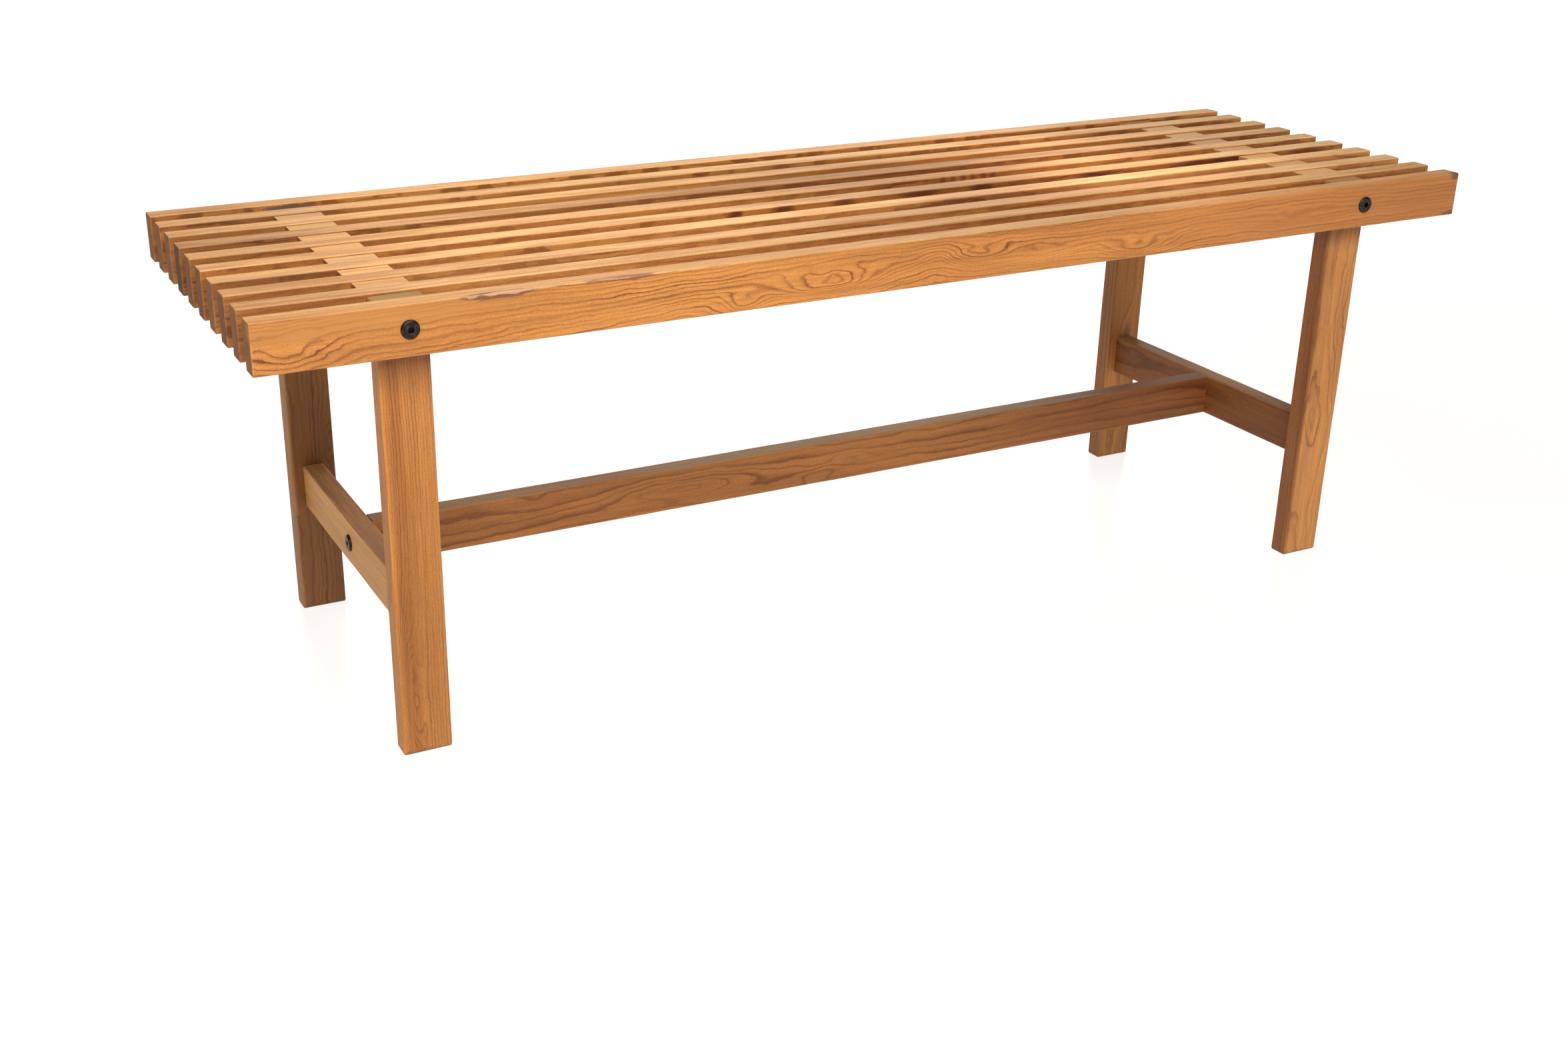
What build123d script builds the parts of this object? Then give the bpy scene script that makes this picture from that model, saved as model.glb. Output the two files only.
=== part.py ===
from build123d import *
import os

# Slatted pine bench.  X runs along the bench, -Y is the front, +Z is up, and the
# origin is on the floor under the middle.  All sizes are in millimetres.
#
# The seat is a stack: ten slats on edge, held one gap apart by the leg tops and by
# spacer blocks, and clamped at each end by a rod with a sleeve nut on both faces.
# Each end frame is two legs tenoned to a low rail.  One long stretcher is tenoned to
# both rails, and a bolt and a barrel nut at each end pull it tight.

# ---- Driving dimensions --------------------------------------------------------

# Seat slats
slat_count = 10
slat_length = 1332.0
slat_thickness = 22.0
slat_height = 46.0
slat_gap = 22.0            # clear gap between slats, filled by legs and spacers
seat_height = 438.0        # floor to the top of the slats
slat_ease = 1.5            # chamfer on the long edges
slat_end_ease = 1.0        # chamfer round the sawn ends

# End frames
frame_inset = 134.0        # slat end to the middle of the legs
leg_width = 47.0           # along X
leg_ease = 2.0             # chamfer on the long edges
leg_top_drop = 2.0         # leg top below the slat tops
leg_top_ease = 1.0
foot_chamfer = 3.0
spacer_recess = 1.5        # spacer face below the slat tops, and above their undersides

# Low rails and the long stretcher, cut from the same stock
rail_thickness = 22.0
rail_height = 46.0
rail_bottom = 118.0        # floor to the underside
rail_ease = 1.5            # chamfer on the long edges

# Stub tenons of the end rails, and shorter ones of the stretcher
tenon_length = 15.0
stretcher_tenon_length = 8.0
tenon_thickness = 10.0
tenon_shoulder = 7.0       # above and below the tenon
tenon_clearance = 0.1      # round the tenon
tenon_end_gap = 0.6        # glue space past its end

# Seat rods and their sleeve nuts
rod_diameter = 6.0
rod_hole_play = 0.6        # on the diameter
rod_drop = 22.0            # slat top down to the rod
rod_end_setback = 4.0      # rod end inside the seat's outer face
sleeve_diameter = 9.0
sleeve_length = 16.0
sleeve_play = 0.3          # on the diameter
thread_play = 0.2          # on the diameter
sleeve_floor = 2.0         # metal between the socket and the thread

# Heads of the sleeve nuts and of the stretcher bolts
head_diameter = 17.0
head_height = 2.5
head_chamfer = 1.2
socket_width = 5.0         # hexagon, across flats
socket_depth = 3.2

# Stretcher joints
bolt_diameter = 6.0
bolt_hole_play = 0.6       # on the diameter
bolt_end_short = 1.0       # bolt end short of the barrel nut's far side
barrel_setback = 40.0      # end rail to the middle of the barrel nut
barrel_diameter = 10.0
barrel_length = 14.0
barrel_play = 0.2          # on the diameter
barrel_slot_width = 1.4
barrel_slot_depth = 1.6

# ---- Sizes that follow ---------------------------------------------------------

pitch = slat_thickness + slat_gap
seat_depth = slat_count * slat_thickness + (slat_count - 1) * slat_gap
slat_z = seat_height - slat_height / 2
rod_z = seat_height - rod_drop
frame_x = slat_length / 2 - frame_inset

leg_thickness = slat_gap
leg_height = seat_height - leg_top_drop
leg_y = seat_depth / 2 - slat_thickness - leg_thickness / 2
leg_inner_y = leg_y - leg_thickness / 2
spacer_height = slat_height - 2 * spacer_recess
spacer_count = slat_count - 3

rail_z = rail_bottom + rail_height / 2
rail_length = 2 * leg_inner_y
tenon_height = rail_height - 2 * tenon_shoulder
rail_outer_x = frame_x + rail_thickness / 2
rail_inner_x = frame_x - rail_thickness / 2
stretcher_length = 2 * rail_inner_x
stretcher_end_x = rail_inner_x + stretcher_tenon_length
barrel_x = rail_inner_x - barrel_setback

rod_length = seat_depth - 2 * rod_end_setback
rod_hole = rod_diameter + rod_hole_play
sleeve_hole = sleeve_diameter + sleeve_play
socket_floor = socket_depth - head_height + sleeve_floor
bolt_hole = bolt_diameter + bolt_hole_play
bolt_in_stretcher = barrel_setback + barrel_diameter / 2 - bolt_end_short
bolt_length = rail_thickness + bolt_in_stretcher

os.makedirs("parts", exist_ok=True)


def save(solid, label):
    """Label a finished piece and write it to its own file."""
    solid.label = label
    export_step(solid, f"parts/{label}.step")


def save_group(solids, label):
    """Write identical pieces of hardware as one group of separate solids."""
    save(Compound(children=solids), label)


def plane_x(x, y, z):
    """A plane facing +X, with its own x along +Y and its own y along +Z."""
    return Plane(origin=(x, y, z), x_dir=(0, 1, 0), z_dir=(1, 0, 0))


def plane_y(x, y, z):
    """A plane facing -Y, with its own x along +X and its own y along +Z."""
    return Plane(origin=(x, y, z), x_dir=(1, 0, 0), z_dir=(0, -1, 0))


# ---- Seat slats ----------------------------------------------------------------


def slat_y(number):
    """Middle of a slat, counted from 1 at the rear."""
    return seat_depth / 2 - slat_thickness / 2 - (number - 1) * pitch


def gap_y(number):
    """Middle of the gap in front of the slat with this number."""
    return slat_y(number) - pitch / 2


def make_slat(number):
    """A slat on edge, bored at both ends for the seat rods.

    The outer slats take a wider bore, because the sleeve nuts reach into them.
    """
    bore = sleeve_hole if number in (1, slat_count) else rod_hole
    with BuildPart() as slat:
        with BuildSketch(plane_x(-slat_length / 2, slat_y(number), slat_z)):
            Rectangle(slat_thickness, slat_height)
        extrude(amount=slat_length)
        chamfer(slat.edges().filter_by(Axis.X), slat_ease)
        chamfer(slat.faces().filter_by(Axis.X).edges(), slat_end_ease)
        for x in (-frame_x, frame_x):
            with BuildSketch(plane_y(x, slat_y(number), rod_z)):
                Circle(bore / 2)
            extrude(amount=slat_thickness, both=True, mode=Mode.SUBTRACT)
    return slat.part


for number in range(1, slat_count + 1):
    save(make_slat(number), f"slat_{number:02d}")

# ---- Spacer blocks in the seat -------------------------------------------------


def make_spacer(x, y):
    """A block between two slats, with its grain along X, bored for the rod."""
    with BuildPart() as spacer:
        with BuildSketch(plane_x(x - leg_width / 2, y, slat_z)):
            Rectangle(slat_gap, spacer_height)
        extrude(amount=leg_width)
        with BuildSketch(plane_y(x, y, rod_z)):
            Circle(rod_hole / 2)
        extrude(amount=slat_gap, both=True, mode=Mode.SUBTRACT)
    return spacer.part


for side, x in (("left", -frame_x), ("right", frame_x)):
    for number in range(1, spacer_count + 1):
        save(make_spacer(x, gap_y(number + 1)), f"spacer_{side}_{number}")

# ---- Legs ----------------------------------------------------------------------


def make_leg(x, facing):
    """A leg: facing is +1 at the rear and -1 at the front."""
    y = facing * leg_y
    with BuildPart() as leg:
        with BuildSketch(Plane.XY):
            with Locations((x, y)):
                Rectangle(leg_width, leg_thickness)
        extrude(amount=leg_height)
        chamfer(leg.edges().filter_by(Axis.Z), leg_ease)
        chamfer(leg.faces().sort_by(Axis.Z)[0].edges(), foot_chamfer)
        chamfer(leg.faces().sort_by(Axis.Z)[-1].edges(), leg_top_ease)
        with BuildSketch(plane_y(x, y, rod_z)):
            Circle(rod_hole / 2)
        extrude(amount=leg_thickness, both=True, mode=Mode.SUBTRACT)
        # The blind mortise opens in the face towards the other leg.
        with BuildSketch(plane_y(x, facing * leg_inner_y, rail_z)):
            Rectangle(tenon_thickness + 2 * tenon_clearance, tenon_height + 2 * tenon_clearance)
        extrude(amount=-facing * (tenon_length + tenon_end_gap), mode=Mode.SUBTRACT)
    return leg.part


for side, x in (("left", -frame_x), ("right", frame_x)):
    for depth_name, facing in (("rear", 1), ("front", -1)):
        save(make_leg(x, facing), f"leg_{depth_name}_{side}")

# ---- End rails -----------------------------------------------------------------


def make_end_rail(facing):
    """A rail between two legs: facing is +1 at the right end and -1 at the left."""
    x = facing * frame_x
    with BuildPart() as rail:
        with BuildSketch(plane_y(x, rail_length / 2, rail_z)):
            Rectangle(rail_thickness, rail_height)
        extrude(amount=rail_length)
        chamfer(rail.edges().filter_by(Axis.Y), rail_ease)
        with BuildSketch(plane_y(x, rail_length / 2 + tenon_length, rail_z)):
            Rectangle(tenon_thickness, tenon_height)
        extrude(amount=rail_length + 2 * tenon_length)
        # Bolt hole right through, and the stretcher's mortise in the inner face.
        with BuildSketch(plane_x(x, 0, rail_z)):
            Circle(bolt_hole / 2)
        extrude(amount=rail_thickness, both=True, mode=Mode.SUBTRACT)
        with BuildSketch(plane_x(facing * rail_inner_x, 0, rail_z)):
            Rectangle(tenon_thickness + 2 * tenon_clearance, tenon_height + 2 * tenon_clearance)
        extrude(amount=facing * (stretcher_tenon_length + tenon_end_gap), mode=Mode.SUBTRACT)
    return rail.part


save(make_end_rail(-1), "end_rail_left")
save(make_end_rail(1), "end_rail_right")

# ---- Long stretcher ------------------------------------------------------------

with BuildPart() as long_stretcher:
    with BuildSketch(plane_x(-stretcher_length / 2, 0, rail_z)):
        Rectangle(rail_thickness, rail_height)
    extrude(amount=stretcher_length)
    chamfer(long_stretcher.edges().filter_by(Axis.X), rail_ease)
    with BuildSketch(plane_x(-stretcher_end_x, 0, rail_z)):
        Rectangle(tenon_thickness, tenon_height)
    extrude(amount=2 * stretcher_end_x)
    for facing in (-1, 1):
        # The bolt's bore ends in the upright bore of the barrel nut.
        with BuildSketch(plane_x(facing * stretcher_end_x, 0, rail_z)):
            Circle(bolt_hole / 2)
        extrude(amount=-facing * (stretcher_tenon_length + barrel_setback), mode=Mode.SUBTRACT)
        # The barrel nut goes in from the underside, where it is out of sight.
        with BuildSketch(Plane.XY.offset(rail_bottom)):
            with Locations((facing * barrel_x, 0)):
                Circle((barrel_diameter + barrel_play) / 2)
        extrude(amount=rail_height / 2 + barrel_length / 2, mode=Mode.SUBTRACT)
save(long_stretcher.part, "long_stretcher")

# ---- Headed hardware -----------------------------------------------------------


def make_headed_piece(seat, shank_diameter, shank_length, bore_depth):
    """A chamfered round head on a seat plane, with a hexagon socket and a shank.

    A sleeve nut is bored from its far end to take the rod; a bolt has no bore.
    """
    with BuildPart() as piece:
        with BuildSketch(seat):
            Circle(head_diameter / 2)
        extrude(amount=head_height)
        outer_rim = piece.faces().sort_by(Axis(seat.origin, seat.z_dir))[-1].edges()
        chamfer(outer_rim, head_chamfer)
        with BuildSketch(seat):
            Circle(shank_diameter / 2)
        extrude(amount=-shank_length)
        with BuildSketch(seat.offset(head_height)):
            RegularPolygon(socket_width / 2, 6, major_radius=False)
        extrude(amount=-socket_depth, mode=Mode.SUBTRACT)
        if bore_depth > 0:
            with BuildSketch(seat.offset(-shank_length)):
                Circle((rod_diameter + thread_play) / 2)
            extrude(amount=bore_depth, mode=Mode.SUBTRACT)
    return piece.part


# ---- Seat rods and sleeve nuts -------------------------------------------------


def make_seat_rod(x):
    """A threaded rod through the whole stack, shown plain."""
    with BuildPart() as rod:
        with BuildSketch(plane_y(x, rod_length / 2, rod_z)):
            Circle(rod_diameter / 2)
        extrude(amount=rod_length)
    return rod.part


def make_sleeve_nut(x, facing):
    """A sleeve nut: facing is +1 on the rear slat and -1 on the front slat."""
    seat = Plane(
        origin=(x, facing * seat_depth / 2, rod_z),
        x_dir=(1, 0, 0),
        z_dir=(0, facing, 0),
    )
    return make_headed_piece(seat, sleeve_diameter, sleeve_length, sleeve_length - socket_floor)


for side, x in (("left", -frame_x), ("right", frame_x)):
    save(make_seat_rod(x), f"seat_rod_{side}")
    save_group([make_sleeve_nut(x, 1), make_sleeve_nut(x, -1)], f"sleeve_nuts_{side}")

# ---- Stretcher bolts and barrel nuts -------------------------------------------


def make_stretcher_bolt(facing):
    """A bolt through an end rail: facing is +1 at the right end and -1 at the left."""
    seat = Plane(
        origin=(facing * rail_outer_x, 0, rail_z),
        x_dir=(0, 1, 0),
        z_dir=(facing, 0, 0),
    )
    return make_headed_piece(seat, bolt_diameter, bolt_length, 0)


def make_barrel_nut(facing):
    """A cross-drilled barrel nut standing in the stretcher, slotted below."""
    x = facing * barrel_x
    foot = Plane.XY.offset(rail_z - barrel_length / 2)
    with BuildPart() as nut:
        with BuildSketch(foot):
            with Locations((x, 0)):
                Circle(barrel_diameter / 2)
        extrude(amount=barrel_length)
        with BuildSketch(plane_x(x, 0, rail_z)):
            Circle((bolt_diameter + thread_play) / 2)
        extrude(amount=barrel_diameter, both=True, mode=Mode.SUBTRACT)
        with BuildSketch(foot):
            with Locations((x, 0)):
                Rectangle(barrel_diameter, barrel_slot_width)
        extrude(amount=barrel_slot_depth, mode=Mode.SUBTRACT)
    return nut.part


save_group([make_stretcher_bolt(-1), make_stretcher_bolt(1)], "stretcher_bolts")
save_group([make_barrel_nut(-1), make_barrel_nut(1)], "barrel_nuts")
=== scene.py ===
import math
import random

import bmesh
import bpy
from mathutils import Matrix, Vector, noise


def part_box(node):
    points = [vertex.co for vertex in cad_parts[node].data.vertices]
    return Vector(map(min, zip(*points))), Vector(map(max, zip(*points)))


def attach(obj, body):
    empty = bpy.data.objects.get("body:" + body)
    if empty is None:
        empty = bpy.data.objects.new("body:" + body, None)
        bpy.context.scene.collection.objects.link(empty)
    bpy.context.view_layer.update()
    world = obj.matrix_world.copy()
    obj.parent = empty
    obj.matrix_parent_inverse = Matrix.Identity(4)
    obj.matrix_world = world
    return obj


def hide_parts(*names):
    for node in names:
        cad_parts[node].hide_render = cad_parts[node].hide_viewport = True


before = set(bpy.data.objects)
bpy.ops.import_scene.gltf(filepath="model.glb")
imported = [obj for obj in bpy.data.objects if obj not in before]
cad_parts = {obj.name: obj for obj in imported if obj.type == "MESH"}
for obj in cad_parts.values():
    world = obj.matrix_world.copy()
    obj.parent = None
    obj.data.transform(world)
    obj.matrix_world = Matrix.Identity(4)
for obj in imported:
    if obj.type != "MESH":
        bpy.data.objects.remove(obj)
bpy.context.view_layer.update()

# A slatted pine bench.  X runs along it, -Y is its front, +Z is up.  The scene is in
# metres.  Boards, heads and patterns are worked out in millimetres, which MM turns
# into metres.

MM = 0.001


def srgb(red, green, blue):
    """A colour given as on a screen, 0 to 255, as the linear colour of a shader."""
    def linear(part):
        part /= 255
        return part / 12.92 if part <= 0.04045 else ((part + 0.055) / 1.055) ** 2.4
    return (linear(red), linear(green), linear(blue), 1.0)


# ---- Camera ----------------------------------------------------------------------

CAMERA_PLACE = (-0.97586, -1.66005, 0.87648)
CAMERA_YAW = math.radians(-26.853)
CAMERA_TILT = math.radians(-23.666)
CAMERA_ROLL = math.radians(0.479)
CAMERA_LENS = 42.682
CAMERA_SHIFT = (0.04161, 0.01454)


def make_camera():
    """The viewpoint: standing at the left front corner, looking down along the seat."""
    data = bpy.data.cameras.new("camera")
    data.sensor_fit = "HORIZONTAL"
    data.sensor_width = 36
    data.lens = CAMERA_LENS
    data.shift_x, data.shift_y = CAMERA_SHIFT
    data.clip_end = 60
    data.dof.use_dof = False
    camera = bpy.data.objects.new("camera", data)
    turn = Matrix.Rotation(CAMERA_YAW, 4, "Z")
    tilt = Matrix.Rotation(math.pi / 2 + CAMERA_TILT, 4, "X")
    roll = Matrix.Rotation(CAMERA_ROLL, 4, "Z")
    camera.matrix_world = Matrix.Translation(CAMERA_PLACE) @ turn @ tilt @ roll
    bpy.context.scene.collection.objects.link(camera)
    bpy.context.scene.camera = camera


make_camera()

# ---- Node graphs -----------------------------------------------------------------


class Graph:
    """Adds nodes to one tree and hands back their output sockets."""

    def __init__(self, tree):
        self.tree = tree

    def feed(self, socket, value):
        """Links a socket to another one, or sets its constant."""
        if isinstance(value, bpy.types.NodeSocket):
            self.tree.links.new(value, socket)
        else:
            socket.default_value = value

    def add(self, kind, inputs, **settings):
        """A new node with these inputs and settings."""
        made = self.tree.nodes.new(kind)
        for name, value in settings.items():
            setattr(made, name, value)
        for key, value in inputs.items():
            self.feed(made.inputs[key], value)
        return made

    def group(self, tree, inputs):
        """The outputs of a node that stands for a whole group."""
        return self.add("ShaderNodeGroup", inputs, node_tree=tree).outputs

    def math(self, operation, *values, clamp=False):
        inputs = dict(enumerate(values))
        made = self.add("ShaderNodeMath", inputs, operation=operation, use_clamp=clamp)
        return made.outputs[0]

    def vector(self, operation, *values):
        inputs = dict(enumerate(values))
        made = self.add("ShaderNodeVectorMath", inputs, operation=operation)
        return made.outputs["Value" if operation in ("LENGTH", "DOT_PRODUCT") else "Vector"]

    def scaled(self, vector, factor):
        made = self.add("ShaderNodeVectorMath", {0: vector, "Scale": factor}, operation="SCALE")
        return made.outputs["Vector"]

    def split(self, vector):
        return self.add("ShaderNodeSeparateXYZ", {0: vector}).outputs

    def joined(self, x, y, z):
        return self.add("ShaderNodeCombineXYZ", {0: x, 1: y, 2: z}).outputs[0]

    def place(self):
        """Where a point is in its own piece, in millimetres, X along the grain."""
        made = self.add("ShaderNodeTexCoord", {})
        return self.scaled(made.outputs["Object"], 1 / MM)

    def facing(self):
        """Which way a face looks, in its own piece."""
        return self.add("ShaderNodeTexCoord", {}).outputs["Normal"]

    def noise(self, place, lengths, detail=2.0, roughness=0.5):
        """Noise whose lumps have these lengths in millimetres along X, Y and Z."""
        stretched = self.vector("MULTIPLY", place, tuple(1 / n for n in lengths))
        inputs = {"Vector": stretched, "Scale": 1.0, "Detail": detail, "Roughness": roughness}
        return self.add("ShaderNodeTexNoise", inputs).outputs

    def swing(self, place, lengths, amount, detail=1.0):
        """A vector that wanders to both sides of nothing by about this amount."""
        colour = self.noise(place, lengths, detail)["Color"]
        centred = self.vector("SUBTRACT", colour, (0.5, 0.5, 0.5))
        return self.scaled(centred, amount)

    def step(self, value, low, high, start=0.0, end=1.0):
        """Runs smoothly from start to end while the value runs from low to high."""
        inputs = {0: value, 1: low, 2: high, 3: start, 4: end}
        made = self.add("ShaderNodeMapRange", inputs, interpolation_type="SMOOTHSTEP")
        return made.outputs[0]

    def curve(self, value, points):
        """A grey ramp through these pairs of position and level."""
        made = self.add("ShaderNodeValToRGB", {0: value})
        ramp = made.color_ramp
        for position, level in points[1:-1]:
            ramp.elements.new(position)
        for element, (position, level) in zip(ramp.elements, points):
            element.position = position
            element.color = (level, level, level, 1)
        return made.outputs["Color"]

    def mix(self, share, first, second, way="MIX"):
        """The first colour with this share of the second mixed in."""
        inputs = {0: share, 6: first, 7: second}
        made = self.add("ShaderNodeMix", inputs, data_type="RGBA", blend_type=way)
        return made.outputs[2]


def new_group(name, inputs, outputs):
    """An empty node group with these sockets, its graph, and its inputs by name."""
    kinds = {"f": "NodeSocketFloat", "v": "NodeSocketVector", "c": "NodeSocketColor"}
    tree = bpy.data.node_groups.new(name, "ShaderNodeTree")
    for label, kind in inputs.items():
        tree.interface.new_socket(label, in_out="INPUT", socket_type=kinds[kind])
    for label, kind in outputs.items():
        tree.interface.new_socket(label, in_out="OUTPUT", socket_type=kinds[kind])
    given = tree.nodes.new("NodeGroupInput").outputs
    return Graph(tree), given, tree.nodes.new("NodeGroupOutput").inputs


# ---- Pine ------------------------------------------------------------------------


def make_swirl_group():
    """Lifts the growth rings round one point, which draws a closed eye on a face."""
    inputs = {"Rings": "f", "Centre": "v", "Size": "v", "Lift": "f"}
    g, given, result = new_group("swirl", inputs, {"Rings": "f"})
    place = g.place()
    place = g.vector("ADD", place, g.swing(place, (34, 14, 14), 9))
    apart = g.vector("DIVIDE", g.vector("SUBTRACT", place, given["Centre"]), given["Size"])
    falloff = g.math("EXPONENT", g.math("MULTIPLY", g.vector("DOT_PRODUCT", apart, apart), -1))
    rings = g.math("MULTIPLY_ADD", falloff, given["Lift"], given["Rings"])
    g.feed(result["Rings"], rings)
    return g.tree


def make_stain_group(name, way, ragged, outer, inner):
    """A patch that is mixed in, or that tints the grain under it.

    ragged is how far its edge strays in millimetres.  It fades out between the inner
    and the outer share of its size.
    """
    inputs = {"Colour": "c", "Centre": "v", "Size": "v", "Stain": "c", "Strength": "f"}
    g, given, result = new_group(name, inputs, {"Colour": "c"})
    place = g.place()
    swing = g.swing(place, (16, 3, 3), ragged, detail=3)
    place = g.vector("ADD", place, g.vector("MULTIPLY", swing, (1, 0.25, 0.25)))
    apart = g.vector("DIVIDE", g.vector("SUBTRACT", place, given["Centre"]), given["Size"])
    near = g.step(g.vector("LENGTH", apart), outer, inner)
    share = g.math("MULTIPLY", near, given["Strength"])
    g.feed(result["Colour"], g.mix(share, given["Colour"], given["Stain"], way))
    return g.tree


def make_pine_group():
    """Oiled pine cut from a log: rings about a pith, fibres, end grain and worn edges.

    Half is half the board's size, and Shift moves its noises, so that no two boards are
    alike.  Pith and Lean say where the log's middle runs, Spacing how far apart its
    rings are and Wander how far they stray, and Swirl is added to them.  Contrast,
    Blotch, BleachAndSheen and Ends set how strong the late wood, the flecks, the paler
    tops (bleached, and partly a painted sheen) and the dark of the ends are.
    """
    inputs = {
        "Half": "v", "Shift": "v", "Pith": "v", "Lean": "v",
        "Spacing": "f", "Wander": "f", "Swirl": "f", "Contrast": "f", "Blotch": "f",
        "BleachAndSheen": "f", "Ends": "f", "Early": "c", "Late": "c", "Worn": "c", "FadedAndSheen": "c",
    }
    outputs = {"Colour": "c", "Roughness": "f", "Height": "f"}
    g, given, result = new_group("pine", inputs, outputs)
    place = g.place()
    moved = g.vector("ADD", place, given["Shift"])

    # The log's rings, bent by slow and quick wandering of the grain.
    slow = g.scaled(g.swing(moved, (230, 90, 90), 2.2), given["Wander"])
    middle = g.scaled(g.swing(moved, (64, 26, 26), 0.60), given["Wander"])
    quick = g.swing(moved, (15, 6, 6), 2.6, detail=3.0)
    bent = g.vector("ADD", g.vector("ADD", place, slow), g.vector("ADD", middle, quick))
    lean = g.scaled(given["Lean"], g.split(place)["X"])
    across = g.split(g.vector("SUBTRACT", g.vector("SUBTRACT", bent, given["Pith"]), lean))
    radius = g.vector("LENGTH", g.joined(0.0, across["Y"], across["Z"]))
    rings = g.math("ADD", g.math("DIVIDE", radius, given["Spacing"]), given["Swirl"])
    uneven = g.noise(g.joined(rings, 0.0, 0.0), (2.6, 1, 1), 1.0)["Fac"]
    rings = g.math("MULTIPLY_ADD", uneven, 2.0, rings)
    cycle = g.math("FRACT", rings)
    late_shape = g.curve(cycle, (
        (0.0, 0.50), (0.05, 0.12), (0.30, 0.0), (0.52, 0.07),
        (0.74, 0.34), (0.86, 0.88), (0.95, 1.0), (1.0, 0.50),
    ))
    number = g.math("FLOOR", rings)
    chance = g.add("ShaderNodeTexWhiteNoise", {"W": number}, noise_dimensions="1D")
    strength = g.math("MULTIPLY_ADD", chance.outputs["Value"], 0.75, 0.30)
    region = g.step(g.noise(moved, (130, 24, 24), 1.0)["Fac"], 0.30, 0.66, 0.45, 1.05)
    late = g.math("MULTIPLY", g.math("MULTIPLY", late_shape, strength), region)

    # Dark flecks, on the board's front only, where the saw ran flat through a dense ring.
    fleck = g.step(g.noise(moved, (22, 40, 15), 1.0)["Fac"], 0.46, 0.58)
    region = g.step(g.noise(moved, (210, 90, 90), 1.0)["Fac"], 0.32, 0.50)
    fleck = g.math("MULTIPLY", fleck, region)
    facing = g.split(g.facing())
    fleck = g.math("MULTIPLY", fleck, g.step(facing["Y"], -0.30, -0.85))
    lines = g.math("MULTIPLY", late, given["Contrast"], clamp=True)
    late = g.math("MAXIMUM", lines, g.math("MULTIPLY", fleck, given["Blotch"]), clamp=True)

    # Fibres, and the short dark dashes of resin canals.
    fibre = g.noise(moved, (42, 0.9, 0.9), 3.0, 0.6)["Fac"]
    streak = g.noise(moved, (150, 4.0, 4.0), 2.0, 0.55)["Fac"]
    canal = g.step(g.noise(moved, (9, 0.5, 0.5), 1.0)["Fac"], 0.64, 0.74)
    grit = g.noise(moved, (1.6, 0.8, 0.8), 2.0, 0.7)["Fac"]

    # Slow changes of tint along and across the board.
    tint = g.step(g.noise(moved, (260, 34, 34), 2.0)["Fac"], 0.32, 0.68)
    early = g.mix(tint, given["Early"], g.mix(0.30, given["Early"], given["Late"]))
    colour = g.mix(late, early, given["Late"])
    shade = g.math("MULTIPLY_ADD", fibre, 0.56, 0.72)
    shade = g.math("MULTIPLY", shade, g.math("MULTIPLY_ADD", streak, 0.56, 0.72))
    shade = g.math("MULTIPLY", shade, g.math("MULTIPLY_ADD", grit, 0.90, 0.55))
    shade = g.math("MULTIPLY", shade, g.math("MULTIPLY_ADD", canal, -0.22, 1.0))
    colour = g.mix(1.0, colour, g.joined(shade, shade, shade), "MULTIPLY")

    # Upward faces are paler: bleached by light and rubbing, and partly a painted sheen.
    patchy = g.step(g.noise(moved, (150, 13, 13), 3.0, 0.6)["Fac"], 0.36, 0.60, 0.50, 1.05)
    up = g.math("MULTIPLY", g.step(facing["Z"], 0.25, 0.85), given["BleachAndSheen"])
    up = g.math("MULTIPLY", up, patchy)
    faded_and_sheen = g.mix(g.math("MULTIPLY", lines, 0.4), given["FadedAndSheen"], given["Late"])
    faded_and_sheen = g.mix(1.0, faded_and_sheen, g.joined(shade, shade, shade), "MULTIPLY")
    colour = g.mix(up, colour, faded_and_sheen)

    # Sawn ends drink the oil and are darker.
    end = g.step(g.math("ABSOLUTE", facing["X"]), 0.35, 0.85)
    soaked = g.mix(1.0, colour, given["Late"], "MULTIPLY")
    colour = g.mix(g.math("MULTIPLY", end, given["Ends"]), colour, soaked)

    # The second nearest pair of faces tells how near an edge is.
    inset = g.split(g.vector("SUBTRACT", given["Half"], g.vector("ABSOLUTE", place)))
    lower = g.math("MINIMUM", inset["X"], inset["Y"])
    upper = g.math("MAXIMUM", inset["X"], inset["Y"])
    edge = g.math("MAXIMUM", lower, g.math("MINIMUM", upper, inset["Z"]))
    rub = g.noise(moved, (38, 9, 9), 3.0, 0.6)["Fac"]
    reach = g.math("MULTIPLY_ADD", rub, 4.0, -0.4)
    worn = g.math("SUBTRACT", 1.0, g.math("DIVIDE", edge, reach), clamp=True)
    worn = g.math("MULTIPLY", worn, g.step(rub, 0.35, 0.6, 0.25, 0.6))
    colour = g.mix(worn, colour, given["Worn"])

    rough = g.math("MULTIPLY_ADD", fibre, 0.20, 0.46)
    rough = g.math("MULTIPLY_ADD", late, -0.06, rough)
    rough = g.math("MULTIPLY_ADD", end, 0.2, rough)
    height = g.math("MULTIPLY_ADD", fibre, 0.06, g.math("MULTIPLY", late, 0.05))
    height = g.math("MULTIPLY_ADD", canal, -0.06, height)
    g.feed(result["Colour"], colour)
    g.feed(result["Roughness"], rough)
    g.feed(result["Height"], height)
    return g.tree


SWIRL = make_swirl_group()
PINE = make_pine_group()
# A stain has a soft edge, a wash only tints the grain, a scar's edge is ragged and crisp.
STAIN = make_stain_group("stain", "MIX", 16, 1.15, 0.45)
WASH = make_stain_group("wash", "MULTIPLY", 4, 1.15, 0.45)
SCAR = make_stain_group("scar", "MIX", 24, 1.05, 0.75)

# Early and late wood, wood bared on worn edges, and paler tops: bleach and painted sheen.
HONEY = srgb(195, 131, 67)
AMBER = srgb(122, 66, 28)
PALE = srgb(204, 156, 102)
FADED_AND_SHEEN = srgb(221, 174, 117)


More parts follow.
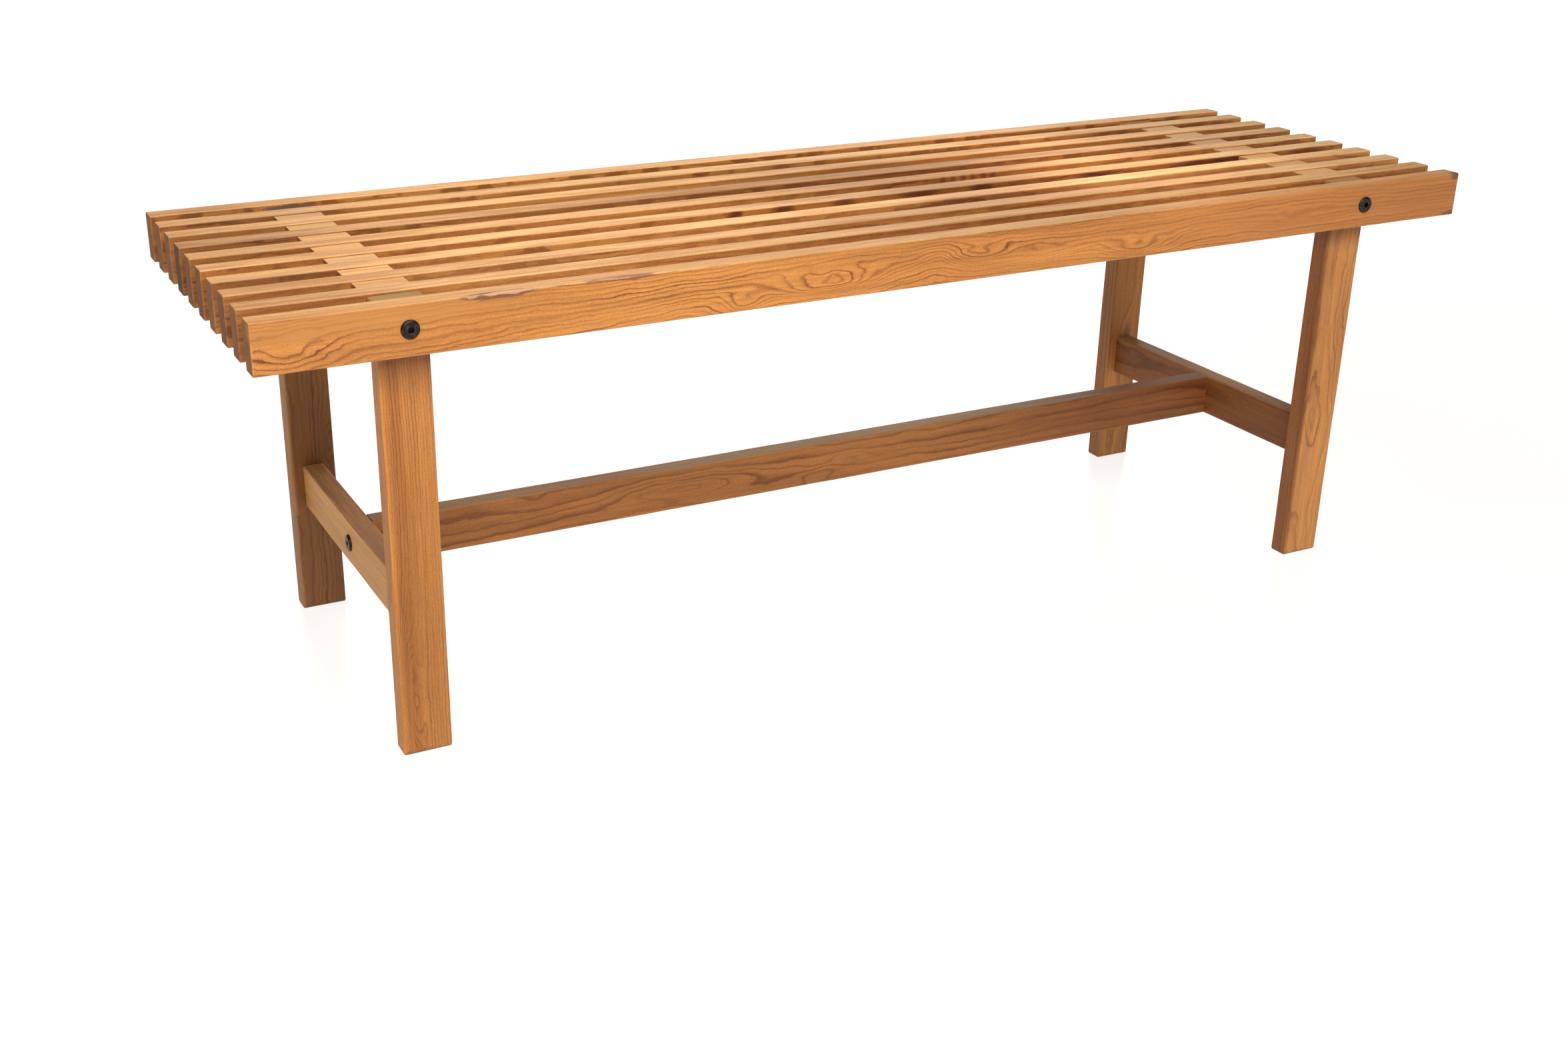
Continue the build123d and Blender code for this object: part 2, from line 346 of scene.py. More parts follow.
def toned(colour, tone):
    """A colour with its red, green and blue multiplied by the tone of one board."""
    return [part * share for part, share in zip(colour, tone)] + [1.0]


def chance_tone(rng):
    """The small difference in colour from one board to the next."""
    light = rng.uniform(0.84, 1.06)
    return light, light * rng.uniform(0.95, 1.03), light * rng.uniform(0.88, 1.06)


def new_material(name):
    """A material with only its shader: its graph, its shader node and itself."""
    made = bpy.data.materials.new(name)
    made.use_nodes = True
    made.node_tree.nodes.clear()
    g = Graph(made.node_tree)
    shader = g.add("ShaderNodeBsdfPrincipled", {})
    g.add("ShaderNodeOutputMaterial", {"Surface": shader.outputs[0]})
    return g, shader, made


def pine(name, half, look, common):
    """The pine of one board.

    half is half the board's size.  common holds values of the wood that all boards of
    its kind share, and look holds what sets this board apart:
      tone, top: what its colours, and that of its paler top, are multiplied by
      wood: values of its wood
      swirls: (centre, size, lift) of each eye in its rings
      washes, stains, scars: (centre, size, colour, strength) of each patch
    Centres are taken from the board's middle, X along the grain, in millimetres.
    """
    g, shader, made = new_material(name)
    rng = random.Random(name)
    rings = 0.0
    for centre, size, lift in look.get("swirls", ()):
        inputs = {"Rings": rings, "Centre": centre, "Size": size, "Lift": lift}
        rings = g.group(SWIRL, inputs)["Rings"]
    side = rng.choice((-1, 1))
    tone = look.get("tone", chance_tone(rng))
    values = {
        "Half": half,
        "Shift": [rng.uniform(-9000, 9000) for axis in "xyz"],
        "Pith": (0, side * rng.uniform(18, 60), rng.uniform(-45, 45)),
        "Lean": (0, rng.uniform(-0.01, 0.01), rng.uniform(-0.02, 0.02)),
        "Spacing": rng.uniform(3.0, 4.6),
        "Wander": rng.uniform(7, 13),
        "Swirl": rings,
        "Contrast": rng.uniform(0.75, 1.0),
        "Ends": rng.uniform(0.30, 0.45),
        "Early": toned(HONEY, tone),
        "Late": toned(AMBER, tone),
        "Worn": toned(PALE, tone),
        "FadedAndSheen": toned(FADED_AND_SHEEN, look.get("top", tone)),
    }
    values.update(common)
    values.update(look.get("wood", {}))
    wood = g.group(PINE, values)
    colour = wood["Colour"]
    for kind, patches in ((WASH, "washes"), (STAIN, "stains"), (SCAR, "scars")):
        for centre, size, stain, strength in look.get(patches, ()):
            inputs = {"Colour": colour, "Centre": centre, "Size": size, "Stain": stain}
            colour = g.group(kind, {**inputs, "Strength": strength})["Colour"]
    relief = {"Height": wood["Height"], "Distance": MM, "Strength": 1.0}
    bump = g.add("ShaderNodeBump", relief)
    g.feed(shader.inputs["Base Color"], colour)
    g.feed(shader.inputs["Roughness"], wood["Roughness"])
    g.feed(shader.inputs["Normal"], bump.outputs[0])
    shader.inputs["Specular IOR Level"].default_value = 0.3
    return made


# ---- Steel -----------------------------------------------------------------------


def steel(name, body, rubbed, roughness):
    """Turned steel, broken by rubbed spots and fine grit, with painted shade dark in its
    socket.
    """
    g, shader, made = new_material(name)
    place = g.place()
    cloud = g.noise(place, (3.5, 3.5, 3.5), 4.0, 0.6)["Fac"]
    grit = g.noise(place, (0.5, 0.5, 0.5), 2.0, 0.6)["Fac"]
    share = g.step(cloud, 0.42, 0.72)
    colour = g.mix(share, body, rubbed)
    # Painted shade: ambient occlusion darkens the colour in the socket and other hollows.
    socket_shade = g.add("ShaderNodeAmbientOcclusion", {"Distance": 4 * MM}, samples=8)
    socket_shade = g.math("POWER", socket_shade.outputs["AO"], 1.6)
    colour = g.mix(1.0, colour, g.joined(socket_shade, socket_shade, socket_shade), "MULTIPLY")
    rough = g.math("MULTIPLY_ADD", grit, 0.3, roughness - 0.15)
    relief = {"Height": grit, "Distance": 0.05 * MM, "Strength": 1.0}
    bump = g.add("ShaderNodeBump", relief)
    g.feed(shader.inputs["Base Color"], colour)
    g.feed(shader.inputs["Roughness"], rough)
    g.feed(shader.inputs["Normal"], bump.outputs[0])
    shader.inputs["Metallic"].default_value = 0.85
    return made


BLACK_STEEL = steel("black_steel", srgb(42, 37, 33), srgb(72, 63, 54), 0.40)
BRIGHT_STEEL = steel("bright_steel", srgb(176, 172, 164), srgb(140, 132, 120), 0.34)


# ---- Boards ----------------------------------------------------------------------

# The corners of a board's section, as the signs of Y and Z.
CORNERS = ((1, 1), (-1, 1), (-1, -1), (1, -1))
TOP_FRONT = CORNERS.index((-1, 1))
CORNER_STEPS = 4
END_STEPS = 3
# How far apart a board's sections stand, and how tight a corner may get.
SECTION_SPACING = 12.0
SMALLEST_RADIUS = 0.25


def mesh_of(shape, name):
    """The mesh of a closed bmesh with its faces turned outward.  The bmesh is freed."""
    bmesh.ops.recalc_face_normals(shape, faces=shape.faces)
    mesh = bpy.data.meshes.new(name)
    shape.to_mesh(mesh)
    shape.free()
    return mesh


def section(half_y, half_z, radii):
    """The outline of a board's section, each corner rounded by its own radius."""
    points = []
    for number, ((side_y, side_z), radius) in enumerate(zip(CORNERS, radii)):
        middle_y = side_y * (half_y - radius)
        middle_z = side_z * (half_z - radius)
        for step in range(CORNER_STEPS + 1):
            angle = (number + step / CORNER_STEPS) * math.pi / 2
            y, z = radius * math.cos(angle), radius * math.sin(angle)
            points.append((middle_y + y, middle_z + z))
    return points


def stations(half_x, end_round):
    """Places along a board with how far its section is pulled in at each."""
    rounding = []
    for step in range(END_STEPS + 1):
        angle = step / END_STEPS * math.pi / 2
        rounding.append((end_round * (1 - math.cos(angle)), end_round * (1 - math.sin(angle))))
    for inward, pulled in rounding:
        yield -half_x + inward, pulled
    straight = half_x - end_round
    count = max(1, round(2 * straight / SECTION_SPACING))
    for step in range(1, count):
        yield -straight + step * 2 * straight / count, 0.0
    for inward, pulled in reversed(rounding):
        yield half_x - inward, pulled


def worn_radius(x, corner, radius, phase, chips):
    """How round a long edge is at the place x along a board."""
    sway = noise.noise(Vector((x / 55, corner * 7.3, phase)))
    worn = radius * (1 + 0.3 * sway)
    for start, end, where, depth in chips:
        if where == corner and start < x < end:
            rise = math.sin(math.pi * (x - start) / (end - start)) ** 0.5
            jag = 0.6 + 0.5 * noise.noise(Vector((x / 5, 3.1, phase)))
            worn += depth * rise * jag
    return worn


def board_mesh(name, half, rounds, phase, chips=()):
    """A planed board along X in millimetres, with softly worn edges.

    rounds holds the radius of its long edges and that of its ends.  phase sets how the
    wear sways.  chips are (start, end, corner, depth): between start and end that
    corner's radius is larger by about the depth.
    """
    shape = bmesh.new()
    last = None
    half_x, half_y, half_z = half
    radius, end_round = rounds
    for x, pulled in stations(half_x, end_round):
        worn = [worn_radius(x, n, radius, phase, chips) for n in range(len(CORNERS))]
        radii = [max(SMALLEST_RADIUS, reach - pulled) for reach in worn]
        outline = section(half_y - pulled, half_z - pulled, radii)
        ring = [shape.verts.new((x * MM, y * MM, z * MM)) for y, z in outline]
        if last:
            for n in range(len(ring)):
                m = (n + 1) % len(ring)
                shape.faces.new((last[n], last[m], ring[m], ring[n]))
        else:
            shape.faces.new(list(reversed(ring)))
        last = ring
    shape.faces.new(last)
    return mesh_of(shape, name)


def prism(name, outline, axis, start, end):
    """A straight prism along one axis.  outline is its section, across that axis."""
    shape = bmesh.new()
    rings = []
    for level in (start, end):
        ring = []
        for u, v in outline:
            point = {"X": (level, u, v), "Y": (u, level, v), "Z": (u, v, level)}[axis]
            ring.append(shape.verts.new([n * MM for n in point]))
        rings.append(ring)
    for n in range(len(outline)):
        m = (n + 1) % len(outline)
        shape.faces.new((rings[0][n], rings[0][m], rings[1][m], rings[1][n]))
    shape.faces.new(rings[0])
    shape.faces.new(rings[1])
    return mesh_of(shape, name)


def circle(u, v, radius, count=32):
    """Points of a circle."""
    turns = [n * (2 * math.pi / count) for n in range(count)]
    return [(u + radius * math.cos(turn), v + radius * math.sin(turn)) for turn in turns]


def rectangle(u, v, width, height):
    """Corners of a rectangle about its middle."""
    signs = ((-1, -1), (1, -1), (1, 1), (-1, 1))
    return [(u + a * width / 2, v + b * height / 2) for a, b in signs]


def linked(name, data):
    """An object with this mesh or light, in the scene."""
    made = bpy.data.objects.new(name, data)
    bpy.context.scene.collection.objects.link(made)
    return made


def apply_modifiers(piece):
    """Turns a piece into what its modifiers make of it."""
    graph = bpy.context.evaluated_depsgraph_get()
    piece.data = bpy.data.meshes.new_from_object(piece.evaluated_get(graph))
    piece.modifiers.clear()


def shade(piece, sharp=40):
    """Shades faces by their weight, and keeps edges from this angle on sharp."""
    mesh = piece.data
    mesh.polygons.foreach_set("use_smooth", [True] * len(mesh.polygons))
    mesh.set_sharp_from_angle(angle=math.radians(sharp))
    weigh = piece.modifiers.new("weigh", "WEIGHTED_NORMAL")
    weigh.keep_sharp = True
    apply_modifiers(piece)


def shape_with(piece, cutters, operation="DIFFERENCE"):
    """Takes prisms away from a piece, or joins them to it."""
    tools = []
    for outline, axis, start, end in cutters:
        tool = linked("tool", prism("tool", outline, axis, start, end))
        change = piece.modifiers.new("tool", "BOOLEAN")
        change.operation = operation
        change.solver = "EXACT"
        change.object = tool
        tools.append(tool)
    apply_modifiers(piece)
    for tool in tools:
        bpy.data.objects.remove(tool)


# How a board that is made along X lies in the bench.
ALONG = Matrix.Identity(4)
UPRIGHT = Matrix.Rotation(-math.pi / 2, 4, "Y")
CROSSWISE = Matrix.Rotation(math.pi / 2, 4, "Z")


def finish_board(piece, node, turn, material):
    """Puts a board in place of its CAD node, turned about the node's middle."""
    shade(piece)
    low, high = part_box(node)
    piece.matrix_world = Matrix.Translation((low + high) / 2) @ turn
    piece.data.materials.clear()
    piece.data.materials.append(material)
    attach(piece, "root")
    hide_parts(node)


# ---- Sizes shared with the CAD, in millimetres -----------------------------------

# HALF is half a board's length, thickness and height, X along it.
HALF_THICK = 11.0

SLAT_COUNT = 10
SLAT_HALF = (666.0, HALF_THICK, 23.0)
SLAT_ROD_X = 532.0
SLAT_ROD_Z = 1.0
ROD_HOLE = 3.3
SLEEVE_HOLE = 4.65

SPACER_COUNT = 7
SPACER_HALF = (23.5, HALF_THICK, 21.5)
SPACER_ROD_Z = 1.0

# How far the rod and the end rail are above or below the middle of a leg.
LEG_HALF = (218.0, HALF_THICK, 23.5)
LEG_ROD_UP = 198.0
LEG_RAIL_UP = -77.0

# Mortises and tenons are (thickness, height, depth).
RAIL_HALF = (165.0, HALF_THICK, 23.0)
MORTISE = (10.2, 32.2, 15.6)
TENON = (10.0, 32.0, 15.0)

STRETCHER_HALF = (521.0, HALF_THICK, 23.0)
STUB_MORTISE = (10.2, 32.2, 8.6)
STUB_TENON = (10.0, 32.0, 8.0)
BARREL_SETBACK = 40.0
BARREL_HOLE = 5.1
BARREL_TOP = 7.0

# ---- Joinery ---------------------------------------------------------------------

# A bore goes this far to both sides, a cutter stands this far out of a face, and a
# tenon starts this far inside its board.
THROUGH = 40.0
CLEAR = 1.0
TENON_OVERLAP = 5.0


def bore(along, up, radius):
    """A bore through a board from front to back."""
    return circle(along, up, radius), "Y", -THROUGH, THROUGH


def mortise(along, length, width, depth, side):
    """A mortise in the face that looks to local Y, times side."""
    outline = rectangle(along, 0, length, width)
    return outline, "Y", side * (HALF_THICK - depth), side * (HALF_THICK + CLEAR)


def end_tenons(half_length, size):
    """A tenon at each end of a board."""
    thickness, height, reach = size
    outline = rectangle(0, 0, thickness, height)
    start, tip = half_length - TENON_OVERLAP, half_length + reach
    return [(outline, "X", end * start, end * tip) for end in (-1, 1)]


# ---- Seat slats ------------------------------------------------------------------

SLAT_ROUNDS = (1.5, 0.8)
BRUISE = srgb(100, 62, 50)
SCRAPE = srgb(196, 150, 114)
# A dark brown for patches: painted shade at the feet, and dark marks elsewhere.
DARK_PATCH = srgb(84, 58, 42)

FRONT_SLAT = {
    "tone": (1.0, 0.97, 0.90),
    "top": (0.74, 0.72, 0.70),
    "wood": {
        "Pith": (0, 30, -46),
        "Lean": (0, 0, 0),
        "Spacing": 2.8,
        "Wander": 8,
        "Contrast": 1.45,
        "Ends": 0.5,
        "Blotch": 0.0,
        "Shift": (2200, 410, 90),
    },
    "swirls": (
        ((-640, -11, -34), (300, 60, 40), 6.0),
        ((-634, -11, -12), (38, 14, 16), 2.2),
        ((-221, -11, -18), (25, 12, 10), 3.4),
        ((-128, -11, -8), (54, 14, 12), 6.2),
        ((-8, -11, 4), (22, 12, 18), -2.6),
        ((40, -11, 2), (34, 12, 11), 3.4),
        ((232, -11, -12), (46, 12, 10), 3.6),
        ((110, -11, -6), (46, 12, 8), 2.4),
        ((424, -11, -4), (50, 12, 9), 2.0),
    ),
    "washes": (
        # Painted shade on the front face, darker towards the right end.
        ((540, -14, 0), (340, 6, 70), (0.84, 0.80, 0.78, 1), 1.0),
        ((-30, 2, 25), (330, 30, 9), (0.84, 0.82, 0.76, 1), 1.0),
    ),
    "stains": (
        ((-590, -11, 15), (170, 14, 15), srgb(178, 120, 62), 0.6),
        ((560, -11, 0), (340, 14, 60), srgb(162, 102, 52), 0.45),
        ((664, -9, 21), (12, 9, 6), DARK_PATCH, 0.8),
        ((662, -9, -21), (16, 9, 4), DARK_PATCH, 0.7),
    ),
    "scars": (
        ((-452, -10, 21.5), (36, 6, 3.6), BRUISE, 0.75),
        ((-445, -11, 22.5), (24, 5, 1.9), SCRAPE, 0.7),
        ((-474, -11, 22), (7, 4, 1.5), SCRAPE, 0.6),
        ((-338, -10, 22), (38, 6, 3.0), BRUISE, 0.7),
        ((-350, -11, 22.5), (18, 4, 1.3), SCRAPE, 0.45),
    ),
    "chips": ((-480, -418, TOP_FRONT, 1.6), (-372, -300, TOP_FRONT, 1.2)),
}


def all_round(x, reach, tint):
    """A wash on every face of a board, about the place x along it."""
    return ((x, 0, 0), (reach, 40, 60), (*tint, 1), 1.0)


def on_top(x, reach, tint):
    """A wash on a slat's top face alone."""
    return ((x, 0, 25), (reach, 40, 9), (*tint, 1), 1.0)


def on_front(x, reach, tint):
    """A wash on the upper part of a slat's front face alone, where a gap is looked into."""
    return ((x, -12, 15), (reach, 2.6, 15), (*tint, 1), 1.0)


# Painted shade darkens slats below their tops, more to the right; their left ends are darker.
LOW_GAP_SHADE = ((650, 0, 0), (950, 40, 21), (0.50, 0.40, 0.35, 1), 1.0)
DARK_LEFT_ENDS = ((-680, 0, 0), (210, 40, 90), (0.80, 0.76, 0.74, 1), 1.0)
# Tops get painted shade in the middle of the seat and a painted sheen at its right end.
TOP_SHADE = on_top(150, 400, (0.78, 0.73, 0.68))
END_SHEEN = on_top(600, 160, (1.10, 1.18, 1.30))
# Painted shade on the slats' fronts in the gaps: warm over most of the right half, deeper about
# x 400.
WARM_GAP_SHADE = on_front(350, 430, (0.86, 0.77, 0.66))
RIGHT_GAP_SHADE = on_front(400, 170, (0.74, 0.72, 0.74))
# Spots of dark heartwood, as (place, reach), and a row of mill marks.
DARK_HEART = tuple(
    on_front(x, length, (0.42, 0.30, 0.24))
    for x, length in (
        (-136, 11), (-83, 18), (-11, 20), (81, 32), (157, 21),
        (308, 36), (452, 52), (500, 40), (612, 44),
    )
)
HATCHED = tuple(on_front(x, 5, (0.58, 0.46, 0.40)) for x in range(137, 215, 13))
# Slats 1 to 9 have lower tones than their tops and the front slat: partly the boards' own
# colour, partly painted shade on their sides in the gaps.
SLAT_LOOKS = {
    1: {
        "tone": (0.84, 0.82, 0.78), "top": (1.00, 1.00, 1.00),
        "wood": {"Blotch": 0.75}, "washes": (WARM_GAP_SHADE,),
    },
    2: {
        "tone": (0.76, 0.74, 0.70), "top": (0.97, 0.98, 0.98),
        "wood": {"Blotch": 0.6}, "washes": (WARM_GAP_SHADE,),
    },
    3: {
        "tone": (0.80, 0.80, 0.78), "top": (1.06, 1.06, 1.06),
        "wood": {"Blotch": 0.2}, "washes": (TOP_SHADE, WARM_GAP_SHADE),
    },
    4: {
        "tone": (0.64, 0.60, 0.60), "top": (0.86, 0.82, 0.80),
        "wood": {"Blotch": 0.6, "Contrast": 1.1, "Ends": 0.65},
        "washes": (
            TOP_SHADE, WARM_GAP_SHADE, END_SHEEN,
            # The all_round wash is painted shade in the middle of the seat.
            all_round(150, 150, (0.84, 0.78, 0.70)), on_top(-50, 230, (0.88, 0.80, 0.68)),
        ),
    },
    5: {
        "tone": (0.78, 0.73, 0.66), "top": (0.97, 0.95, 0.92),
        "wood": {"Blotch": 0.4},
        "washes": (
            # The all_round wash is painted shade in the middle of the seat.
            TOP_SHADE, WARM_GAP_SHADE, END_SHEEN, all_round(150, 150, (0.84, 0.80, 0.74)), *HATCHED,
        ),
    },
    6: {
        "tone": (0.86, 0.79, 0.72), "top": (1.08, 1.10, 1.10),
        "wood": {"Blotch": 0.5, "Ends": 0.5},
        "washes": (
            TOP_SHADE, WARM_GAP_SHADE, RIGHT_GAP_SHADE, END_SHEEN,
            # The all_round wash is painted shade in the middle of the seat.
            all_round(150, 160, (0.70, 0.64, 0.60)), *DARK_HEART,
        ),
    },
    7: {
        "tone": (0.92, 0.92, 0.94), "top": (1.07, 1.07, 1.06),
        "wood": {"Blotch": 0.2},
        "washes": (
            RIGHT_GAP_SHADE, END_SHEEN, on_front(-640, 130, (0.66, 0.62, 0.62)),
            # Both washes about x 150 are painted shade in the middle of the seat.
            all_round(150, 160, (0.80, 0.76, 0.78)), on_front(150, 150, (0.66, 0.56, 0.54)),
        ),
    },
    8: {
        "tone": (0.88, 0.85, 0.85), "top": (0.90, 0.90, 0.92),
        "wood": {"Blotch": 0.4, "Ends": 0.5},
        # The pale wash on the front at x -400 is painted light in the gap.
        "washes": (TOP_SHADE, RIGHT_GAP_SHADE, END_SHEEN, on_front(-400, 170, (1.14, 1.24, 1.45))),
    },
    9: {
        "tone": (0.84, 0.81, 0.82), "top": (0.88, 0.88, 0.86),
        "wood": {"Blotch": 0.3},
        "washes": (
            # The wash on the front at x 150 is painted shade in the gap, and the pale one at x
            # -400 is painted light.
            TOP_SHADE, on_front(150, 150, (0.74, 0.70, 0.70)),
            on_front(-400, 170, (1.32, 1.45, 1.60)),
        ),
    },
    10: FRONT_SLAT,
}


def make_slat(number):
    """A seat slat, counted from the rear.  The outer two are bored for sleeve nuts."""
    node = f"slat_{number:02d}"
    look = dict(SLAT_LOOKS[number])
    if number < SLAT_COUNT:
        look["washes"] = (LOW_GAP_SHADE, DARK_LEFT_ENDS, *look["washes"])
    mesh = board_mesh(node, SLAT_HALF, SLAT_ROUNDS, number * 3.7, look.get("chips", ()))
    piece = linked("board_" + node, mesh)
    radius = SLEEVE_HOLE if number in (1, SLAT_COUNT) else ROD_HOLE
    shape_with(piece, [bore(x, SLAT_ROD_Z, radius) for x in (-SLAT_ROD_X, SLAT_ROD_X)])
    material = pine(node, SLAT_HALF, look, {"BleachAndSheen": 0.8})
    finish_board(piece, node, ALONG, material)


for number in range(1, SLAT_COUNT + 1):
    make_slat(number)

# ---- Spacer blocks ---------------------------------------------------------------

SPACER_ROUNDS = (0.8, 0.6)
SPACER_WOOD = {"BleachAndSheen": 0.8, "Contrast": 0.7}
# How much darker than its sides a spacer's top is.
SPACER_TOPS = {"left": (0.90, 0.90, 0.90), "right": (0.80, 0.77, 0.74)}


def make_spacer(side, number):
    """A block between two slats, over one end frame."""
    node = f"spacer_{side}_{number}"
    mesh = board_mesh(node, SPACER_HALF, SPACER_ROUNDS, number * 1.9)
    piece = linked("block_" + node, mesh)
    shape_with(piece, [bore(0, SPACER_ROD_Z, ROD_HOLE)])
    tone = chance_tone(random.Random(node))
    top = [part * share for part, share in zip(tone, SPACER_TOPS[side])]
    material = pine(node, SPACER_HALF, {"tone": tone, "top": top}, SPACER_WOOD)
    finish_board(piece, node, ALONG, material)


for side in ("left", "right"):
    for number in range(1, SPACER_COUNT + 1):
        make_spacer(side, number)

# ---- Legs ------------------------------------------------------------------------


def left_face_light_and_shade(tint):
    """A wash on the face of a leg that looks to the bench's left: painted light on the two left
    legs and painted shade on the two right legs.
    """
    return ((0, 0, 25), (500, 30, 6), (*tint, 1), 1.0)


def under_seat(up, reach, tint):
    """A painted shadow of the seat across the top of a leg's front face."""
    return ((up, -11, 0), (reach, 16, 90), (*tint, 1), 1.0)


def top_end(colour, strength):
    """A stain on a leg's sawn top, which fills a gap of the seat."""
    return ((218, 0, 0), (5, 16, 30), colour, strength)


LEG_ROUNDS = (2.0, 2.4)
# Painted shade along the foot's base, where the leg meets the floor.
FOOT_SHADE = ((-219, 0, 0), (5, 60, 90), DARK_PATCH, 0.45)
LEG_LOOKS = {
    "rear_left": {
        "tone": (0.50, 0.50, 0.50),
        "wood": {"Pith": (0, 60, 40), "Spacing": 2.8, "Wander": 6, "Contrast": 0.9},
        "swirls": (((-35, -11, -16), (34, 12, 6), 2.0),),
        "washes": (
            left_face_light_and_shade((1.7, 1.85, 1.9)),
            ((-218, 0, 0), (240, 40, 60), (0.74, 0.70, 0.74, 1), 1.0),
        ),
        "stains": (top_end(srgb(60, 47, 43), 0.9),),
    },
    "front_left": {
        "tone": (0.83, 0.80, 0.75),
        "wood": {
            "Pith": (0, 6, 96), "Lean": (0, 0, 0),
            "Spacing": 2.8, "Wander": 3.5, "Contrast": 0.8,
        },
        "swirls": (((-150, -11, 14), (70, 14, 11), 6.0),),
        "washes": (
            under_seat(172, 44, (0.76, 0.74, 0.80)),
            ((-40, -11, 12), (330, 16, 9), (0.82, 0.74, 0.70, 1), 1.0),
            left_face_light_and_shade((1.20, 1.14, 0.86)),
        ),
        "stains": (top_end(srgb(138, 112, 68), 0.9),),
    },
    "rear_right": {
        "tone": (0.88, 0.89, 0.86),
        "wood": {"Pith": (0, 34, 10), "Spacing": 4.4, "Wander": 7, "Contrast": 0.85},
        "swirls": (((-49, -11, -4), (16, 12, 5), 3.0),),
        "washes": (left_face_light_and_shade((0.72, 0.70, 0.70)),),
        "stains": (((-49, -11, -4), (11, 10, 5), DARK_PATCH, 0.45),),
    },
    "front_right": {
        "tone": (0.92, 0.93, 1.00),
        "wood": {"Pith": (0, 40, 12), "Spacing": 3.4, "Wander": 12, "Contrast": 0.8},
        "washes": (
            left_face_light_and_shade((0.46, 0.38, 0.30)),
            under_seat(178, 34, (0.76, 0.74, 0.76)),
        ),
        "stains": (top_end(srgb(150, 114, 76), 0.8),),
    },
}


def make_leg(row, side):
    """A leg, bored for its rod, with a mortise for the end rail toward the middle."""
    node = f"leg_{row}_{side}"
    mesh = board_mesh(node, LEG_HALF, LEG_ROUNDS, len(node) * 2.3)
    piece = linked("board_" + node, mesh)
    inward = 1 if row == "front" else -1
    thickness, height, depth = MORTISE
    rail_mortise = mortise(LEG_RAIL_UP, height, thickness, depth, inward)
    shape_with(piece, [bore(LEG_ROD_UP, 0, ROD_HOLE), rail_mortise])
    look = dict(LEG_LOOKS[f"{row}_{side}"])
    look["stains"] = (FOOT_SHADE, *look["stains"])
    finish_board(piece, node, UPRIGHT, pine(node, LEG_HALF, look, {}))


for side in ("left", "right"):
    for row in ("rear", "front"):
        make_leg(row, side)

# ---- Low rails and the long stretcher --------------------------------------------

RAIL_ROUNDS = (2.0, 0.3)
RAIL_LOOKS = {
    "left": {
        "tone": (1.22, 1.40, 1.40),
        "wood": {
            "Pith": (0, -20, 90), "Spacing": 2.4, "Wander": 5, "Contrast": 0.5,
            "FadedAndSheen": srgb(142, 102, 70),
        },
    },
    "right": {
        # The right rail's dark tone is partly painted shade, and its wash on the inner face,
        # under the seat, is painted shade.
        "tone": (0.47, 0.40, 0.32),
        "washes": (((-120, 11, 0), (140, 20, 60), (0.70, 0.68, 0.68, 1), 1.0),),
        "wood": {
            "Pith": (0, -36, 6), "Spacing": 6.0, "Wander": 6, "Contrast": 0.9,
            "FadedAndSheen": srgb(156, 120, 78),
        },
    },
}
# The stretcher's low tone is partly painted shade of the seat, and its wash at the right end is
# painted shade.
STRETCHER_LOOK = {
    "tone": (0.59, 0.54, 0.50),
    "wood": {
        "Pith": (0, 36, 40), "Spacing": 7.0, "Wander": 10, "Contrast": 0.95,
        "Lean": (0, 0, 0.01), "FadedAndSheen": srgb(138, 110, 74),
    },
    "swirls": (
        ((-176, -11, 0), (72, 12, 11), 3.4),
        ((-18, -11, -11), (30, 12, 6), 1.6),
        ((21, -11, 3), (26, 12, 7), 1.4),
    ),
    "washes": (((440, 0, 0), (330, 40, 50), (0.66, 0.58, 0.58, 1), 1.0),),
}


def make_end_rail(side):
    """A rail between two legs, bored for the stretcher's bolt."""
    node = f"end_rail_{side}"
    mesh = board_mesh(node, RAIL_HALF, RAIL_ROUNDS, len(node) * 1.3)
    piece = linked("board_" + node, mesh)
    shape_with(piece, end_tenons(RAIL_HALF[0], TENON), "UNION")
    # Local Y points to the left end, where the left rail's bolt head is.
    inner = -1 if side == "left" else 1
    thickness, height, depth = STUB_MORTISE
    stub_mortise = mortise(0, thickness, height, depth, inner)
    shape_with(piece, [bore(0, 0, ROD_HOLE), stub_mortise])
    material = pine(node, RAIL_HALF, RAIL_LOOKS[side], {"BleachAndSheen": 0.8})
    finish_board(piece, node, CROSSWISE, material)


def make_stretcher():
    """The long stretcher, with a bolt hole in each end and a barrel nut's hole below."""
    node = "long_stretcher"
    mesh = board_mesh(node, STRETCHER_HALF, RAIL_ROUNDS, 5.1)
    piece = linked("board_" + node, mesh)
    half_length, _, half_height = STRETCHER_HALF
    shape_with(piece, end_tenons(half_length, STUB_TENON), "UNION")
    mouth = half_length + STUB_TENON[2] + CLEAR
    holes = []
    for end in (-1, 1):
        nut_x = end * (half_length - BARREL_SETBACK)
        holes.append((circle(0, 0, ROD_HOLE), "X", nut_x, end * mouth))
        nut_hole = circle(nut_x, 0, BARREL_HOLE)
        holes.append((nut_hole, "Z", -half_height - CLEAR, BARREL_TOP))
    shape_with(piece, holes)
    material = pine(node, STRETCHER_HALF, STRETCHER_LOOK, {"BleachAndSheen": 0.9})
    finish_board(piece, node, ALONG, material)


make_end_rail("left")
make_end_rail("right")
make_stretcher()

# ---- Black steel heads -----------------------------------------------------------

